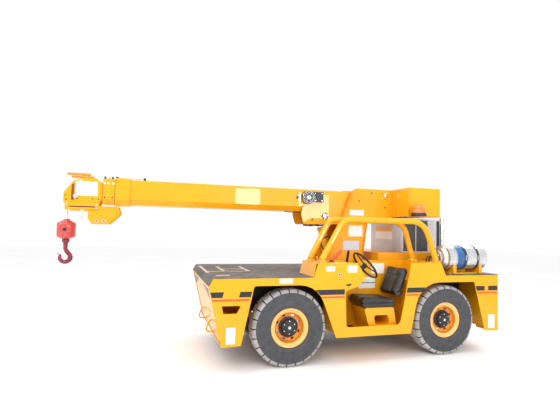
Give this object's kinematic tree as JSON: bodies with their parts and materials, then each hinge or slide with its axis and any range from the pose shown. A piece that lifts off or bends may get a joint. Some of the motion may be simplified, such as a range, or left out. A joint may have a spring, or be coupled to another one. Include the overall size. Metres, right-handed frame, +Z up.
{
  "type": "mobile crane",
  "caption": "Low four-wheel industrial crane with a flat load deck, open side cab under a roll-over guard, swinging mast, telescopic boom with hook, and slanted outriggers.",
  "frame": {"origin": "on the ground under the middle of the crane's overall length and width", "axes": "+X forward along the boom at rest, +Y to the driver's left, +Z up"},
  "size_m": [5.7446, 1.93, 2.26],
  "materials": {
    "yellow_paint": "glossy",
    "black_paint": "satin",
    "deck_grey": "matte",
    "grey_paint": "satin",
    "bright_steel": "polished",
    "tyre_rubber": "matte",
    "rim_paint": "satin",
    "black_vinyl": "satin",
    "tank_aluminium": "brushed",
    "red_paint": "satin",
    "amber_lens": "glossy",
    "cast_iron": "matte"
  },
  "bodies": {
    "chassis": {"main_frame": "black_paint", "front_outrigger_box": "yellow_paint", "rear_outrigger_box": "yellow_paint", "left_side_panel": "yellow_paint", "right_side_panel": "yellow_paint", "front_deck": "deck_grey", "rear_deck": "deck_grey", "cab_tub": "yellow_paint", "dash_console": "black_paint", "seat_base": "yellow_paint", "seat_cushion": "black_vinyl", "seat_back": "black_vinyl", "rops_frame": "yellow_paint", "engine_housing": "yellow_paint", "engine_block": "cast_iron", "cooling_tower": "grey_paint", "exhaust_stack": "bright_steel", "hydraulic_tank": "black_paint", "lpg_tank": "tank_aluminium", "lpg_cradle": "yellow_paint", "front_axle": "black_paint", "rear_axle": "black_paint"},
    "steering_wheel": {"steering_wheel": "black_vinyl"},
    "engine_hood": {"engine_hood": "yellow_paint"},
    "superstructure": {"mast": "yellow_paint", "winch_cover": "yellow_paint", "beacon": "amber_lens"},
    "boom_base": {"boom_base": "yellow_paint", "cable_reel": "black_paint"},
    "boom_mid": {"boom_mid": "yellow_paint"},
    "boom_tip": {"boom_tip": "yellow_paint"},
    "head_sheave": {"head_sheave": "cast_iron"},
    "hoist_rope": {"hoist_rope": "bright_steel"},
    "hook_block": {"hook_block": "red_paint"},
    "hook": {"hook": "red_paint"},
    "lift_barrel": {"lift_cylinder_barrel": "yellow_paint"},
    "lift_rod": {"lift_cylinder_rod": "bright_steel"},
    "outrigger_front_left": {"outrigger_front_left": "yellow_paint"},
    "knuckle_front_left": {"knuckle_front_left": "cast_iron"},
    "wheel_front_left": {"rim_front_left": "rim_paint", "tyre_front_left": "tyre_rubber"},
    "outrigger_front_right": {"outrigger_front_right": "yellow_paint"},
    "knuckle_front_right": {"knuckle_front_right": "cast_iron"},
    "wheel_front_right": {"rim_front_right": "rim_paint", "tyre_front_right": "tyre_rubber"},
    "outrigger_rear_left": {"outrigger_rear_left": "yellow_paint"},
    "knuckle_rear_left": {"knuckle_rear_left": "cast_iron"},
    "wheel_rear_left": {"rim_rear_left": "rim_paint", "tyre_rear_left": "tyre_rubber"},
    "outrigger_rear_right": {"outrigger_rear_right": "yellow_paint"},
    "knuckle_rear_right": {"knuckle_rear_right": "cast_iron"},
    "wheel_rear_right": {"rim_rear_right": "rim_paint", "tyre_rear_right": "tyre_rubber"}
  },
  "joints": [
    {"name": "swing", "type": "hinge", "parent": "chassis", "child": "superstructure", "pos_m": [-0.7205, 0, 1.083], "axis": [0, 0, 1], "continuous": true},
    {"name": "boom_lift", "type": "hinge", "parent": "superstructure", "child": "boom_base", "pos_m": [-1.5155, 0, 2.175], "axis": [0, -1, 0], "range_deg": [0, 60]},
    {"name": "mid_slide", "type": "slide", "parent": "boom_base", "child": "boom_mid", "axis": [1, 0, 0], "range_m": [0, 2.85]},
    {"name": "tip_slide", "type": "slide", "parent": "boom_mid", "child": "boom_tip", "axis": [1, 0, 0], "range_m": [0, 2.85]},
    {"name": "sheave_spin", "type": "hinge", "parent": "boom_tip", "child": "head_sheave", "pos_m": [2.6575, 0, 1.98], "axis": [0, 1, 0], "range_deg": [0, 590]},
    {"name": "hook_plumb", "type": "hinge", "parent": "boom_tip", "child": "hoist_rope", "pos_m": [2.6575, 0, 1.98], "axis": [0, -1, 0], "range_deg": [-60, 0]},
    {"name": "hoist", "type": "slide", "parent": "hoist_rope", "child": "hook_block", "axis": [0, 0, -1], "range_m": [0, 1.12], "deforming": ["hoist_rope"]},
    {"name": "hook_swivel", "type": "hinge", "parent": "hook_block", "child": "hook", "pos_m": [2.7675, 0, 1.46], "axis": [0, 0, 1], "continuous": true},
    {"name": "lift_tilt", "type": "hinge", "parent": "superstructure", "child": "lift_barrel", "pos_m": [-0.8505, 0, 0.55], "axis": [0, -1, 0], "range_deg": [0, 8.4]},
    {"name": "lift_reach", "type": "slide", "parent": "lift_barrel", "child": "lift_rod", "axis": [0.2273, 0, 0.9738], "range_m": [0, 0.965]},
    {"name": "steering_turn", "type": "hinge", "parent": "chassis", "child": "steering_wheel", "pos_m": [-0.9205, 0.715, 1.182], "axis": [-0.7749, 0, 0.632], "range_deg": [-540, 540]},
    {"name": "hood_hinge", "type": "hinge", "parent": "chassis", "child": "engine_hood", "pos_m": [-1.2805, -0.625, 1.335], "axis": [-1, 0, 0], "range_deg": [0, 75]},
    {"name": "steer_front_left", "type": "hinge", "parent": "chassis", "child": "knuckle_front_left", "pos_m": [0.1695, 0.715, 0.461], "axis": [0, 0, 1], "range_deg": [-28, 28]},
    {"name": "roll_front_left", "type": "hinge", "parent": "knuckle_front_left", "child": "wheel_front_left", "pos_m": [0.1695, 0.8, 0.461], "axis": [0, 1, 0], "continuous": true},
    {"name": "outrigger_slide_front_left", "type": "slide", "parent": "chassis", "child": "outrigger_front_left", "axis": [0, 0.7314, -0.682], "range_m": [0, 0.43]},
    {"name": "steer_front_right", "type": "hinge", "parent": "chassis", "child": "knuckle_front_right", "pos_m": [0.1695, -0.715, 0.461], "axis": [0, 0, 1], "range_deg": [-28, 28]},
    {"name": "roll_front_right", "type": "hinge", "parent": "knuckle_front_right", "child": "wheel_front_right", "pos_m": [0.1695, -0.8, 0.461], "axis": [0, 1, 0], "continuous": true},
    {"name": "outrigger_slide_front_right", "type": "slide", "parent": "chassis", "child": "outrigger_front_right", "axis": [0, -0.7314, -0.682], "range_m": [0, 0.43]},
    {"name": "steer_rear_left", "type": "hinge", "parent": "chassis", "child": "knuckle_rear_left", "pos_m": [-2.0305, 0.715, 0.461], "axis": [0, 0, 1], "range_deg": [-28, 28]},
    {"name": "roll_rear_left", "type": "hinge", "parent": "knuckle_rear_left", "child": "wheel_rear_left", "pos_m": [-2.0305, 0.8, 0.461], "axis": [0, 1, 0], "continuous": true},
    {"name": "outrigger_slide_rear_left", "type": "slide", "parent": "chassis", "child": "outrigger_rear_left", "axis": [0, 0.7314, -0.682], "range_m": [0, 0.43]},
    {"name": "steer_rear_right", "type": "hinge", "parent": "chassis", "child": "knuckle_rear_right", "pos_m": [-2.0305, -0.715, 0.461], "axis": [0, 0, 1], "range_deg": [-28, 28]},
    {"name": "roll_rear_right", "type": "hinge", "parent": "knuckle_rear_right", "child": "wheel_rear_right", "pos_m": [-2.0305, -0.8, 0.461], "axis": [0, 1, 0], "continuous": true},
    {"name": "outrigger_slide_rear_right", "type": "slide", "parent": "chassis", "child": "outrigger_rear_right", "axis": [0, -0.7314, -0.682], "range_m": [0, 0.43]}
  ],
  "couplings": [
    {"joint": "tip_slide", "follows": "mid_slide", "ratio": 1},
    {"joint": "hook_plumb", "follows": "boom_lift", "ratio": -1},
    {"joint": "sheave_spin", "follows": "hoist", "rad_per_m": 9.0909},
    {"joint": "lift_tilt", "follows": "boom_lift", "ratio": 0.14},
    {"joint": "lift_reach", "follows": "boom_lift", "m_per_rad": 0.92151},
    {"joint": "steering_turn", "follows": "steer_front_left", "ratio": 19.286},
    {"joint": "steer_front_right", "follows": "steer_front_left", "ratio": 1},
    {"joint": "steer_rear_right", "follows": "steer_rear_left", "ratio": 1}
  ]
}
